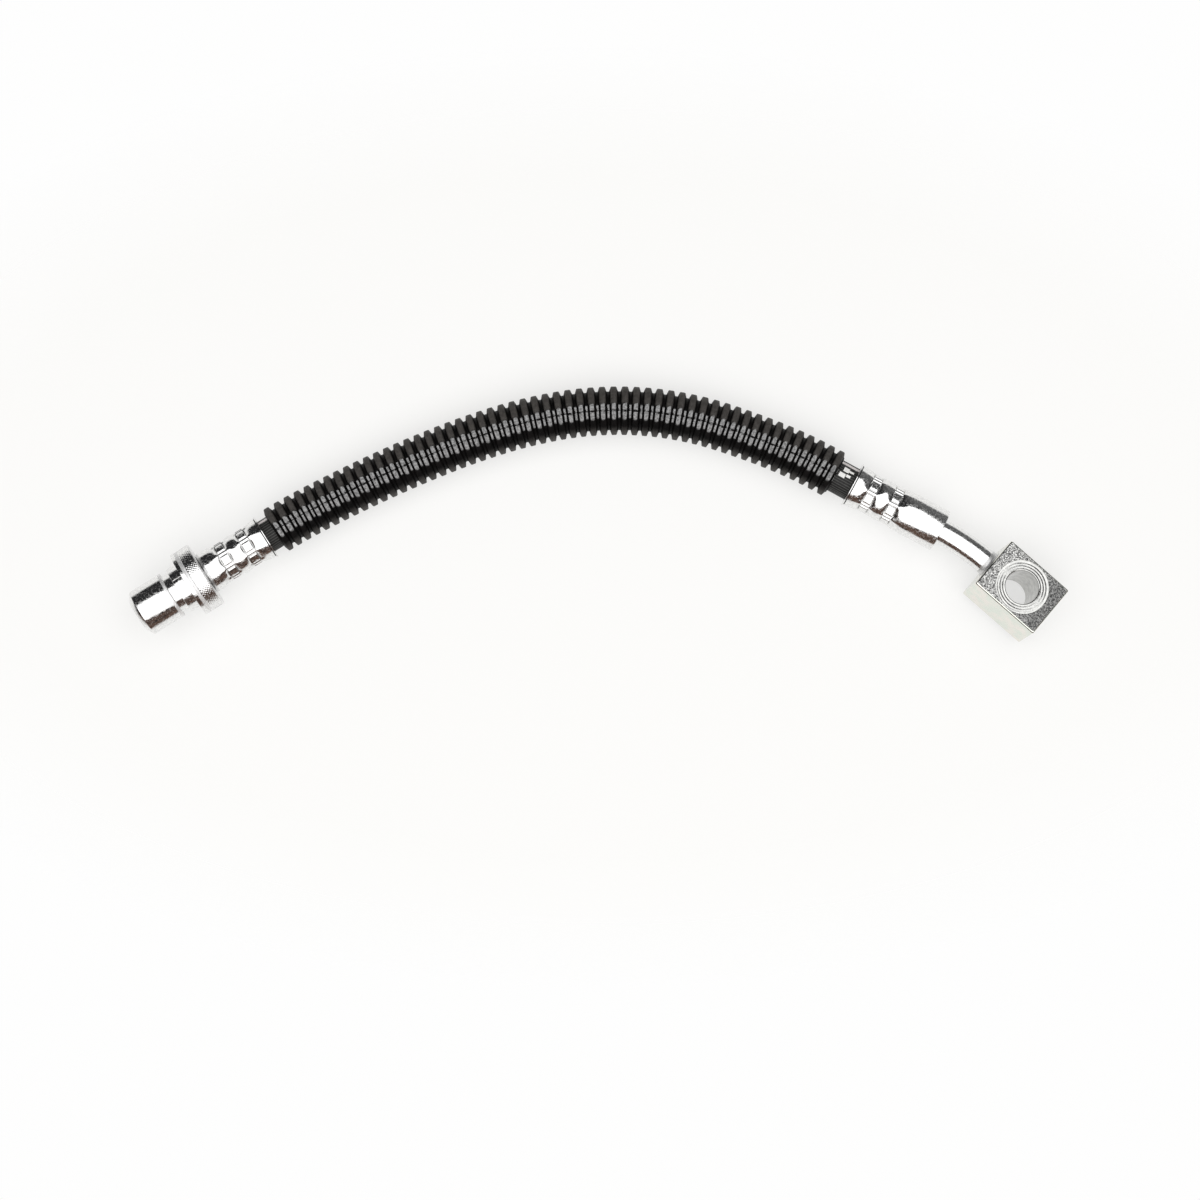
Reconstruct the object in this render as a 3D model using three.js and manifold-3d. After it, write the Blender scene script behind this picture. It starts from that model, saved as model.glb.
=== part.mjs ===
import * as THREE from "three";
import { mergeVertices } from "three/addons/utils/BufferGeometryUtils.js";
import Module from "manifold-3d";

// A hydraulic brake hose lying on a flat surface: a rubber hose in a ribbed guard, with a female
// screw end at its left and a block for a hollow bolt at its right.
// Millimetres, +Z up, origin on the surface below the middle of the whole.

const wasm = await Module();
wasm.setup();

const UP = new THREE.Vector3(0, 0, 1);
const FIT = 0.3;

// The hose's centreline as it lies, from the left shell's mouth to the right shell's mouth
const ROUTE = [
  [-100.9, -6.4, 8.86],
  [-94.5, -2.4, 8.31],
  [-85.8, 2.4, 7.58],
  [-70.2, 10.1, 7.4],
  [-54.5, 17.1, 7.4],
  [-38.3, 23.4, 7.4],
  [-21.8, 28.4, 7.4],
  [-4.7, 31.5, 7.4],
  [12.6, 31.9, 7.4],
  [29.7, 29.4, 7.4],
  [46.3, 24.3, 7.4],
  [62.3, 17.8, 7.44],
  [77.7, 9.6, 7.88],
];
const ROUND_SIDES = 12;
const HOSE_STEPS = 28;

// Rubber hose
const HOSE_R = 5.2;
const HOSE_BORE_R = 1.6;
const HOSE_GRIP = 17.2;
const HOSE_BORE_RAMP = 1;

// Ribbed guard, cut after its last whole rib that leaves the hose bare for a stretch at its right
const GUARD_START = 3.1;
const GUARD_TAIL = 0.2;
const GUARD_SPARE = 4.5;
const RIB_PITCH = 3.316;
const RIB_BASE = 2.7;
const RIB_FLANK = 0.6;
const RIB_HEIGHT = 1.5;
const GUARD_WALL = 0.4;

// Barbed stems inside the hose
const STEM_R = 2.1;
const STEM_BORE_R = 1.2;
const STEM_TIP = 2.2;
const BARB_COUNT = 4;
const BARB_HEIGHT = 0.3;
const BARB_DROP = 0.3;
const STEM_SIDES = 16;

// Crimped shells
const SHELL_WALL = 1.1;
const SHELL_EDGE = 0.3;
const CUP_R = 5;
const CRIMP_PLACES = [6.3, 13.8];
const CRIMP_LENGTH = 2.8;
const CRIMP_SQUEEZE = 1.3;
const CRIMP_BULGE = 1;
const LIP_RAMP = 2.5;
const BORE_RAMP = 1.5;
const BULGE_RAMP = 1.9;
const END_RAMP = 4;
const LUG_COUNT = 8;
const LUG_LENGTH = 2.4;
const LUG_WIDTH = 3.2;
const LUG_HEIGHT = 0.8;
const LUG_ROOT = 0.5;
const SHELL_SIDES = 24;

// Female end at the left
const INLET_SHELL = 21.15;
const INLET_CUP = 18;
const NECK_R = 3.4;
const COLLAR_R = 10.5;
const COLLAR_EDGE = 0.3;
const KNURL_BAND = 4.1;
const COLLAR_GROOVE = 0.6;
const COLLAR_GROOVE_DEPTH = 0.5;
const COLLAR_RIM = 1.7;
const LAND_LENGTH = 3.2;
const CLIP_GROOVE = 2.4;
const CLIP_GROOVE_R = 6.2;
const NOSE_LENGTH = 12.1;
const NOSE_R = 7.4;
const NOSE_CHAMFER = 1.4;
const NOSE_FACE_R = 5;
const PORT_R = 4.4;
const PORT_DEPTH = 11;
const SEAT_R = 3.5;
const SEAT_HEIGHT = 2.2;
const KEY_WIDTH = 2;
const KEY_DEPTH = 0.35;
const KEY_ANGLE = 16;

// Tube and block at the right
const OUTLET_SHELL = 30.4;
const OUTLET_HEAD_R = 4.6;
const OUTLET_HEAD = 3;
const OUTLET_CLOCK = 22.5;
const TUBE_R = 3.9;
const TUBE_BORE_R = 2.4;
const TUBE_LENGTH = 18;
const TUBE_BEND = 13.3;
const TUBE_STEPS = 8;
const TUBE_SOCKET = 4.3;
const BLOCK_LENGTH = 23;
const BLOCK_WIDTH = 17.9;
const BLOCK_THICKNESS = 15;
const BLOCK_EDGE = 0.4;
const BLOCK_ASIDE = 1;
const BLOCK_ROLL = -14.6;
const BOLT_HOLE_R = 5.2;
const SPOT_FACE_R = 8.3;
const SPOT_FACE_DEPTH = 0.3;
const PASSAGE_R = 1.7;
const HOLE_SIDES = 32;

const shellR = HOSE_R + FIT + SHELL_WALL;
const crimpR = shellR - CRIMP_SQUEEZE;
const stemEnd = HOSE_GRIP + FIT;
const degrees = THREE.MathUtils.degToRad;

const chrome = new THREE.MeshStandardMaterial({ color: 0xdcdcda, roughness: 0.12, metalness: 1 });
const zinc = new THREE.MeshStandardMaterial({ color: 0xc3c4bd, roughness: 0.35, metalness: 1 });
const guardBlack = new THREE.MeshStandardMaterial({ color: 0x1b1b1c, roughness: 0.45, metalness: 0 });
const hoseBlack = new THREE.MeshStandardMaterial({ color: 0x131313, roughness: 0.8, metalness: 0 });

const route = new THREE.CatmullRomCurve3(
  ROUTE.map((point) => new THREE.Vector3(...point)),
  false,
  "catmullrom",
  0.5,
);
const freeLength = route.getLength();

// Place and directions on the hose's centreline; past a shell's mouth it runs on straight
function hoseWay(distance) {
  const onRoute = THREE.MathUtils.clamp(distance, 0, freeLength);
  const along = route.getTangentAt(onRoute / freeLength);
  const point = route.getPointAt(onRoute / freeLength).addScaledVector(along, distance - onRoute);
  const side = new THREE.Vector3().crossVectors(along, UP).normalize();
  const up = new THREE.Vector3().crossVectors(side, along);
  return { point, along, side, up };
}

// The tube's centreline in its end's own frame: straight, one arc towards +X, straight again
function tubeWay(distance) {
  const bendRadius = TUBE_LENGTH / degrees(TUBE_BEND);
  const onArc = THREE.MathUtils.clamp(distance, 0, TUBE_LENGTH);
  const angle = onArc / bendRadius;
  const along = new THREE.Vector3(Math.sin(angle), Math.cos(angle), 0);
  const side = new THREE.Vector3(Math.cos(angle), -Math.sin(angle), 0);
  const point = new THREE.Vector3(bendRadius * (1 - Math.cos(angle)), bendRadius * Math.sin(angle), 0);
  point.y += OUTLET_SHELL;
  point.addScaledVector(along, distance - onArc);
  return { point, along, side, up: UP };
}

// Bend a shape that was made straight along +Y: its y becomes the distance along the way
function bend(geometry, way) {
  const position = geometry.attributes.position;
  const vertex = new THREE.Vector3();
  for (let i = 0; i < position.count; i += 1) {
    vertex.fromBufferAttribute(position, i);
    const { point, side, up } = way(vertex.y);
    point.addScaledVector(side, vertex.x).addScaledVector(up, vertex.z);
    position.setXYZ(i, point.x, point.y, point.z);
  }
  geometry.computeVertexNormals();
  return geometry;
}

// Turn a closed outline of [radius, y] points around Y, outer side upwards first
function turn(outline, sides) {
  const points = [...outline, outline[0]].map(([radius, y]) => new THREE.Vector2(radius, y));
  return new THREE.LatheGeometry(points, sides);
}

function toSolid(geometry) {
  const bare = geometry.clone();
  bare.deleteAttribute("normal");
  bare.deleteAttribute("uv");
  const merged = mergeVertices(bare, 1e-3);
  return new wasm.Manifold(
    new wasm.Mesh({
      numProp: 3,
      vertProperties: Float32Array.from(merged.attributes.position.array),
      triVerts: Uint32Array.from(merged.index.array),
    }),
  );
}

function toGeometry(solid) {
  const { vertProperties, triVerts } = solid.getMesh();
  const geometry = new THREE.BufferGeometry();
  geometry.setAttribute("position", new THREE.BufferAttribute(vertProperties, 3));
  geometry.setIndex(new THREE.BufferAttribute(triVerts, 1));
  geometry.computeVertexNormals();
  return geometry;
}

function piece(name, geometry, material) {
  const mesh = new THREE.Mesh(geometry, material);
  mesh.name = name;
  return mesh;
}

function makeHose() {
  const [near, far] = CRIMP_PLACES;
  const gripR = HOSE_R - CRIMP_SQUEEZE;
  const endR = CUP_R - 2 * FIT;
  const openBoreR = STEM_R + FIT;
  const gripped = [
    [HOSE_R, near - CRIMP_LENGTH / 2 - BORE_RAMP],
    [gripR, near - CRIMP_LENGTH / 2],
    [gripR, far + CRIMP_LENGTH / 2],
    [endR, HOSE_GRIP],
  ];
  const bore = [
    [HOSE_BORE_R, 0],
    [openBoreR, HOSE_BORE_RAMP],
    [openBoreR, HOSE_GRIP],
  ];
  const outline = gripped.map(([radius, depth]) => [radius, -depth]).reverse();
  for (let step = 0; step <= HOSE_STEPS; step += 1) {
    outline.push([HOSE_R, (freeLength * step) / HOSE_STEPS]);
  }
  outline.push(...gripped.map(([radius, depth]) => [radius, freeLength + depth]));
  outline.push(...bore.map(([radius, depth]) => [radius, freeLength + depth]).reverse());
  for (let step = HOSE_STEPS - 1; step > 0; step -= 1) {
    outline.push([HOSE_BORE_R, (freeLength * step) / HOSE_STEPS]);
  }
  outline.push(...bore.map(([radius, depth]) => [radius, -depth]));
  return piece("rubber_hose", bend(turn(outline, ROUND_SIDES), hoseWay), hoseBlack);
}

// The guard's wall follows its ribs, so each rib is hollow behind
function makeGuard() {
  const boreR = HOSE_R + FIT;
  const valleyR = boreR + GUARD_WALL;
  const crestR = valleyR + RIB_HEIGHT;
  const room = freeLength - GUARD_START - RIB_BASE - GUARD_TAIL - GUARD_SPARE;
  const ribCount = 1 + Math.floor(room / RIB_PITCH);
  const length = (ribCount - 1) * RIB_PITCH + RIB_BASE + GUARD_TAIL;
  const outer = [];
  const inner = [[boreR, 0]];
  for (let rib = 0; rib < ribCount; rib += 1) {
    const start = rib * RIB_PITCH;
    outer.push([valleyR, start]);
    outer.push([crestR, start + RIB_FLANK]);
    outer.push([crestR, start + RIB_BASE - RIB_FLANK]);
    outer.push([valleyR, start + RIB_BASE]);
    inner.push([boreR, start + GUARD_WALL]);
    inner.push([crestR - GUARD_WALL, start + RIB_BASE / 2]);
    inner.push([boreR, start + RIB_BASE - GUARD_WALL]);
  }
  outer.push([valleyR, length]);
  inner.push([boreR, length]);
  const outline = [...outer, ...inner.reverse()];
  const sleeve = turn(outline, ROUND_SIDES).translate(0, GUARD_START, 0);
  return piece("scuff_guard", bend(sleeve, hoseWay), guardBlack);
}

// Outer side of a barbed stem: each barb rises away from the tip and drops back
function barbOutline() {
  const pitch = (stemEnd - STEM_TIP) / BARB_COUNT;
  const outline = [];
  for (let barb = 0; barb < BARB_COUNT; barb += 1) {
    const start = STEM_TIP + barb * pitch;
    outline.push([STEM_R - BARB_HEIGHT, start]);
    outline.push([STEM_R, start + pitch - BARB_DROP]);
  }
  outline.push([STEM_R - BARB_HEIGHT, stemEnd]);
  return outline;
}

// A shell from its mouth outwards, pressed in at two crimps with raised lugs between the jaw marks
function makeFerrule(name, length, cupDepth, holeR, clock) {
  const [near, far] = CRIMP_PLACES;
  const half = CRIMP_LENGTH / 2;
  const bulgeR = crimpR + CRIMP_BULGE;
  const gripR = HOSE_R + FIT - CRIMP_SQUEEZE;
  const body = turn(
    [
      [shellR - SHELL_EDGE, 0],
      [shellR, SHELL_EDGE],
      [shellR, near - half - LIP_RAMP],
      [crimpR, near - half],
      [crimpR, near + half],
      [bulgeR, near + half + BULGE_RAMP],
      [bulgeR, far - half - BULGE_RAMP],
      [crimpR, far - half],
      [crimpR, far + half],
      [shellR, far + half + END_RAMP],
      [shellR, length - SHELL_EDGE],
      [shellR - SHELL_EDGE, length],
      [holeR, length],
      [holeR, cupDepth],
      [CUP_R, cupDepth],
      [CUP_R, stemEnd],
      [gripR, far + half],
      [gripR, near - half],
      [HOSE_R + FIT, near - half - BORE_RAMP],
      [HOSE_R + FIT, 0],
    ],
    SHELL_SIDES,
  );
  let solid = toSolid(body);
  for (const place of CRIMP_PLACES) {
    for (let lug = 0; lug < LUG_COUNT; lug += 1) {
      const box = new THREE.BoxGeometry(LUG_WIDTH, LUG_LENGTH, LUG_HEIGHT + LUG_ROOT);
      box.translate(0, place, crimpR + (LUG_HEIGHT - LUG_ROOT) / 2);
      box.rotateY(degrees(clock + (360 * lug) / LUG_COUNT));
      solid = solid.add(toSolid(box));
    }
  }
  return piece(name, toGeometry(solid), chrome);
}

// The female end in one piece, from the barbed stem's tip outwards to the port's mouth
function makeInletFitting() {
  const collarFace = INLET_SHELL + FIT;
  const grooveStart = collarFace + KNURL_BAND;
  const rimStart = grooveStart + COLLAR_GROOVE;
  const landStart = rimStart + COLLAR_RIM;
  const clipStart = landStart + LAND_LENGTH;
  const noseStart = clipStart + CLIP_GROOVE;
  const mouth = noseStart + NOSE_LENGTH;
  const portEnd = mouth - PORT_DEPTH;
  const body = turn(
    [
      ...barbOutline(),
      [NECK_R, stemEnd],
      [NECK_R, collarFace],
      [COLLAR_R - COLLAR_EDGE, collarFace],
      [COLLAR_R, collarFace + COLLAR_EDGE],
      [COLLAR_R, grooveStart],
      [COLLAR_R - COLLAR_GROOVE_DEPTH, grooveStart],
      [COLLAR_R - COLLAR_GROOVE_DEPTH, rimStart],
      [COLLAR_R, rimStart],
      [COLLAR_R, landStart - COLLAR_EDGE],
      [COLLAR_R - COLLAR_EDGE, landStart],
      [NOSE_R, landStart],
      [NOSE_R, clipStart],
      [CLIP_GROOVE_R, clipStart],
      [CLIP_GROOVE_R, noseStart],
      [NOSE_R, noseStart],
      [NOSE_R, mouth - NOSE_CHAMFER],
      [NOSE_FACE_R, mouth],
      [PORT_R, mouth],
      [PORT_R, portEnd],
      [SEAT_R, portEnd],
      [STEM_BORE_R, portEnd + SEAT_HEIGHT],
      [STEM_BORE_R, STEM_TIP],
    ],
    SHELL_SIDES,
  );
  const key = new THREE.BoxGeometry(KEY_WIDTH, LAND_LENGTH, 2 * KEY_DEPTH);
  key.translate(0, landStart + LAND_LENGTH / 2, NOSE_R);
  key.rotateY(degrees(KEY_ANGLE));
  return piece("inlet_fitting", toGeometry(toSolid(body).subtract(toSolid(key))), chrome);
}

function makeOutletStem() {
  const headEnd = stemEnd + OUTLET_HEAD;
  const outline = [
    ...barbOutline(),
    [OUTLET_HEAD_R, stemEnd],
    [OUTLET_HEAD_R, headEnd],
    [STEM_BORE_R, headEnd],
    [STEM_BORE_R, STEM_TIP],
  ];
  return piece("outlet_stem", turn(outline, STEM_SIDES), zinc);
}

function makeTube(start) {
  const end = TUBE_LENGTH + TUBE_SOCKET - FIT;
  const steps = [start];
  for (let step = 0; step <= TUBE_STEPS; step += 1) {
    steps.push((TUBE_LENGTH * step) / TUBE_STEPS);
  }
  steps.push(end);
  const outer = steps.map((place) => [TUBE_R, place]);
  const inner = steps.map((place) => [TUBE_BORE_R, place]).reverse();
  return piece("outlet_tube", bend(turn([...outer, ...inner], STEM_SIDES), tubeWay), chrome);
}

// The block from its end face along +Y, its bolt hole along Z, standing a little aside of the tube
function makeBlock() {
  const halfWidth = BLOCK_WIDTH / 2 - BLOCK_EDGE;
  const halfLength = BLOCK_LENGTH / 2 - BLOCK_EDGE;
  const outline = new THREE.Shape([
    new THREE.Vector2(-halfWidth, -halfLength),
    new THREE.Vector2(halfWidth, -halfLength),
    new THREE.Vector2(halfWidth, halfLength),
    new THREE.Vector2(-halfWidth, halfLength),
  ]);
  const body = new THREE.ExtrudeGeometry(outline, {
    depth: BLOCK_THICKNESS - 2 * BLOCK_EDGE,
    bevelSize: BLOCK_EDGE,
    bevelThickness: BLOCK_EDGE,
    bevelSegments: 1,
  });
  body.translate(BLOCK_ASIDE, BLOCK_LENGTH / 2, BLOCK_EDGE - BLOCK_THICKNESS / 2);
  const boltHole = new THREE.CylinderGeometry(BOLT_HOLE_R, BOLT_HOLE_R, 2 * BLOCK_THICKNESS, HOLE_SIDES);
  boltHole.rotateX(Math.PI / 2).translate(BLOCK_ASIDE, BLOCK_LENGTH / 2, 0);
  const spotFace = new THREE.CylinderGeometry(SPOT_FACE_R, SPOT_FACE_R, 2 * SPOT_FACE_DEPTH, HOLE_SIDES);
  spotFace.rotateX(Math.PI / 2).translate(BLOCK_ASIDE, BLOCK_LENGTH / 2, 0);
  const socket = new THREE.CylinderGeometry(TUBE_R + FIT, TUBE_R + FIT, 2 * TUBE_SOCKET, STEM_SIDES);
  const passage = new THREE.CylinderGeometry(PASSAGE_R, PASSAGE_R, BLOCK_LENGTH, STEM_SIDES);
  const half = BLOCK_THICKNESS / 2;
  const solid = toSolid(body)
    .subtract(toSolid(boltHole))
    .subtract(toSolid(spotFace.clone().translate(0, 0, half)))
    .subtract(toSolid(spotFace.clone().translate(0, 0, -half)))
    .subtract(toSolid(socket))
    .subtract(toSolid(passage));
  return piece("banjo_block", toGeometry(solid), zinc);
}

// A frame at a shell's mouth: +Y points away from the hose, +Z upwards
function endGroup(distance, outward) {
  const { point, along } = hoseWay(distance);
  const axis = along.multiplyScalar(outward);
  const side = new THREE.Vector3().crossVectors(axis, UP).normalize();
  const up = new THREE.Vector3().crossVectors(side, axis);
  const group = new THREE.Group();
  group.position.copy(point);
  group.quaternion.setFromRotationMatrix(new THREE.Matrix4().makeBasis(side, axis, up));
  return group;
}

const inletEnd = endGroup(0, -1);
inletEnd.add(makeInletFitting());
inletEnd.add(makeFerrule("inlet_ferrule", INLET_SHELL, INLET_CUP, NECK_R + FIT, 0));

const outletCup = stemEnd + OUTLET_HEAD + FIT;
const outletEnd = endGroup(freeLength, 1);
outletEnd.add(makeFerrule("outlet_ferrule", OUTLET_SHELL, outletCup, TUBE_R + FIT, OUTLET_CLOCK));
outletEnd.add(makeOutletStem());
outletEnd.add(makeTube(outletCup - OUTLET_SHELL));

const blockGroup = new THREE.Group();
blockGroup.position.copy(tubeWay(TUBE_LENGTH).point);
blockGroup.rotation.set(0, degrees(BLOCK_ROLL), degrees(-TUBE_BEND), "ZYX");
blockGroup.add(makeBlock());
outletEnd.add(blockGroup);

const brakeHose = new THREE.Group();
brakeHose.add(makeHose());
brakeHose.add(makeGuard());
brakeHose.add(inletEnd);
brakeHose.add(outletEnd);

export default brakeHose;
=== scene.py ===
import math

import bmesh
import bpy
import numpy as np
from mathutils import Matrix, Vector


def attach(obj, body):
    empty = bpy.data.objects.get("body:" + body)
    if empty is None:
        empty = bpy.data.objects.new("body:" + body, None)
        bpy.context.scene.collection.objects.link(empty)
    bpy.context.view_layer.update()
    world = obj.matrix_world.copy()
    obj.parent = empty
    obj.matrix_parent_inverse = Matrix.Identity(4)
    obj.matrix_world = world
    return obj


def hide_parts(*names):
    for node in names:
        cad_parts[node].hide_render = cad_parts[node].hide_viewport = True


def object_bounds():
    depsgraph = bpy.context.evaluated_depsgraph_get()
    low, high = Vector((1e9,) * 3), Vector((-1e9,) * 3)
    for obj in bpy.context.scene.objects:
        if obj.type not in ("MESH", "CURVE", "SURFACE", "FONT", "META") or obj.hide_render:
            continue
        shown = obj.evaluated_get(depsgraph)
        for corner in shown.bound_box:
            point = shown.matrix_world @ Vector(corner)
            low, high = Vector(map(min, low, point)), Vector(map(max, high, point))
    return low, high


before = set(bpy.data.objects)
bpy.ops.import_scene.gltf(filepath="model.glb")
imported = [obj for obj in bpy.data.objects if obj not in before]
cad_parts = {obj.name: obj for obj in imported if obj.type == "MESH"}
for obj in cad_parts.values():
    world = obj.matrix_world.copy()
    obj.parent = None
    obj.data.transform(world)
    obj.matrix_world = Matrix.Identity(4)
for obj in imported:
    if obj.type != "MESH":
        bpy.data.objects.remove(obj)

cad_low, cad_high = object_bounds()

# Lengths are in millimetres until a mesh is made. The camera, the floor and the lamp stand in metres.
MM = 0.001
FIT = 0.3
UP = np.array([0.0, 0.0, 1.0])

# The hose's centreline, as in the part's source
ROUTE = np.array([
    (-100.9, -6.4, 8.86),
    (-94.5, -2.4, 8.31),
    (-85.8, 2.4, 7.58),
    (-70.2, 10.1, 7.4),
    (-54.5, 17.1, 7.4),
    (-38.3, 23.4, 7.4),
    (-21.8, 28.4, 7.4),
    (-4.7, 31.5, 7.4),
    (12.6, 31.9, 7.4),
    (29.7, 29.4, 7.4),
    (46.3, 24.3, 7.4),
    (62.3, 17.8, 7.44),
    (77.7, 9.6, 7.88),
])


def unit(vector):
    return vector / np.linalg.norm(vector, axis=-1, keepdims=True)


# The same uniform spline as the source's, sampled densely and laid off by its length
def sample_route(steps=4000):
    before = 2 * ROUTE[0] - ROUTE[1]
    after = 2 * ROUTE[-1] - ROUTE[-2]
    points = np.vstack([before, ROUTE, after])
    t = np.linspace(0, len(ROUTE) - 1, steps)
    k = np.minimum(t.astype(int), len(ROUTE) - 2)
    w = (t - k)[:, None]
    p0, p1, p2, p3 = (points[k + i] for i in range(4))
    m1 = 0.5 * (p2 - p0)
    m2 = 0.5 * (p3 - p1)
    cubic = 2 * p1 - 2 * p2 + m1 + m2
    square = -3 * p1 + 3 * p2 - 2 * m1 - m2
    place = cubic * w**3 + square * w**2 + m1 * w + p1
    slope = 3 * cubic * w**2 + 2 * square * w + m1
    run = np.concatenate([[0], np.cumsum(np.linalg.norm(np.diff(place, axis=0), axis=1))])
    return run, place, unit(slope)


RUN, PLACE, ALONG = sample_route()
FREE = RUN[-1]


def across(along):
    side = unit(np.cross(along, UP))
    return side, np.cross(side, along)


# Each way turns distances along a line into points and the directions sideways and up there
def hose_way(distance):
    distance = np.asarray(distance, float)
    held = np.clip(distance, 0, FREE)
    point = np.stack([np.interp(held, RUN, PLACE[:, i]) for i in range(3)], axis=-1)
    along = unit(np.stack([np.interp(held, RUN, ALONG[:, i]) for i in range(3)], axis=-1))
    point = point + along * (distance - held)[:, None]
    side, up = across(along)
    return point, side, up


class Frame:
    """Axes at a spot on the part: x to the side, y away from the hose and z up."""

    def __init__(self, origin, side, axis, up):
        self.origin = origin
        self.side = side
        self.axis = axis
        self.up = up

    def place(self, local):
        x, y, z = local[..., :1], local[..., 1:2], local[..., 2:]
        return self.origin + x * self.side + y * self.axis + z * self.up

    def way(self, distance):
        distance = np.asarray(distance, float)[:, None]
        same = np.ones_like(distance)
        return self.origin + distance * self.axis, same * self.side, same * self.up


def mouth_frame(index, outward):
    axis = ALONG[index] * outward
    side, up = across(axis)
    return Frame(PLACE[index], side, axis, up)


# The frames at the two shells' mouths
inlet = mouth_frame(0, -1)
outlet = mouth_frame(-1, 1)

# Tube: one arc towards local x, then straight into the block
OUTLET_SHELL = 30.4
TUBE_LENGTH = 18.0
TUBE_BEND = math.radians(13.3)


def tube_way(distance):
    distance = np.asarray(distance, float)
    bend_r = TUBE_LENGTH / TUBE_BEND
    held = np.clip(distance, 0, TUBE_LENGTH)
    angle = held / bend_r
    zero = np.zeros_like(angle)
    along = np.stack([np.sin(angle), np.cos(angle), zero], axis=-1)
    side = np.stack([np.cos(angle), -np.sin(angle), zero], axis=-1)
    point = np.stack([bend_r * (1 - np.cos(angle)), OUTLET_SHELL + bend_r * np.sin(angle), zero], axis=-1)
    point = point + along * (distance - held)[:, None]
    world_side = side[:, :1] * outlet.side + side[:, 1:2] * outlet.axis
    return outlet.place(point), world_side, np.ones_like(world_side) * outlet.up


# Block: its frame stands at the tube's end, turned with the bend and rolled about the tube
BLOCK_ROLL = math.radians(-14.6)


def make_block_frame():
    end, side, _ = tube_way([TUBE_LENGTH])
    axis = unit(math.sin(TUBE_BEND) * outlet.side + math.cos(TUBE_BEND) * outlet.axis)
    rolled_side = math.cos(BLOCK_ROLL) * side[0] - math.sin(BLOCK_ROLL) * outlet.up
    rolled_up = math.sin(BLOCK_ROLL) * side[0] + math.cos(BLOCK_ROLL) * outlet.up
    return Frame(end[0], rolled_side, axis, rolled_up)


block_frame = make_block_frame()


# Mesh making: the faces that close a ring get turns up to 1 instead of a jump back to 0
def corner_uv(uv, faces):
    corners = uv[faces]
    turns = corners[:, :, 1]
    closing = np.ptp(turns, axis=1) > 0.5
    turns[closing] += turns[closing] < 0.5
    return corners.astype(np.float32)


# Edges that turn by less than smooth_under, in degrees, are shaded smooth
def make_piece(name, points, faces, uv, material, smooth_under):
    mesh = bpy.data.meshes.new(name)
    mesh.from_pydata((points * MM).tolist(), [], faces.tolist())
    mesh.uv_layers.new(name="UVMap").data.foreach_set("uv", corner_uv(uv, faces).ravel())
    outward = bmesh.new()
    outward.from_mesh(mesh)
    bmesh.ops.recalc_face_normals(outward, faces=outward.faces)
    outward.to_mesh(mesh)
    outward.free()
    mesh.shade_smooth()
    mesh.set_sharp_from_angle(angle=math.radians(smooth_under))
    mesh.materials.append(material)
    piece = bpy.data.objects.new(name, mesh)
    bpy.context.scene.collection.objects.link(piece)
    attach(piece, "root")
    return piece


# Quads between neighbouring rings of a closed outline, each ring closed too
def ring_faces(rings, sides):
    i = np.arange(rings)[:, None]
    j = np.arange(sides)[None, :]
    i2, j2 = (i + 1) % rings, (j + 1) % sides
    quads = np.stack([i * sides + j, i * sides + j2, i2 * sides + j2, i2 * sides + j], axis=-1)
    return quads.reshape(-1, 4)


# One radius all the way round for each [radius, distance] of an outline
def even_radii(outline, sides):
    return np.repeat(outline[:, :1], sides, axis=1)


# Sweep a closed outline round a way; angles run from up towards the side
def sweep(outline, angles, way, radii):
    point, side, up = way(outline[:, 1])
    sine, cosine = np.sin(angles)[None, :, None], np.cos(angles)[None, :, None]
    spots = point[:, None, :] + radii[:, :, None] * (side[:, None, :] * sine + up[:, None, :] * cosine)
    return spots.reshape(-1, 3), ring_faces(len(outline), len(angles))


def around(sides):
    return np.linspace(0, 2 * math.pi, sides, endpoint=False)


# A UV with the distance along, this many millimetres to 1, and the share of the ring's sides passed
UV_SPAN = 100


def lengthwise_uv(outline, sides):
    shares = np.tile(np.arange(sides) / sides, len(outline))
    return np.stack([np.repeat(outline[:, 1] / UV_SPAN, sides), shares], axis=-1)


# Three points that round an edge, from its face at y to its full radius
EDGE = 0.3
EDGE_MIDDLE = 0.09


def rounded_edge(radius, y, inward):
    return [
        [radius - EDGE, y],
        [radius - EDGE_MIDDLE, y + inward * EDGE_MIDDLE],
        [radius, y + inward * EDGE],
    ]


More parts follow.
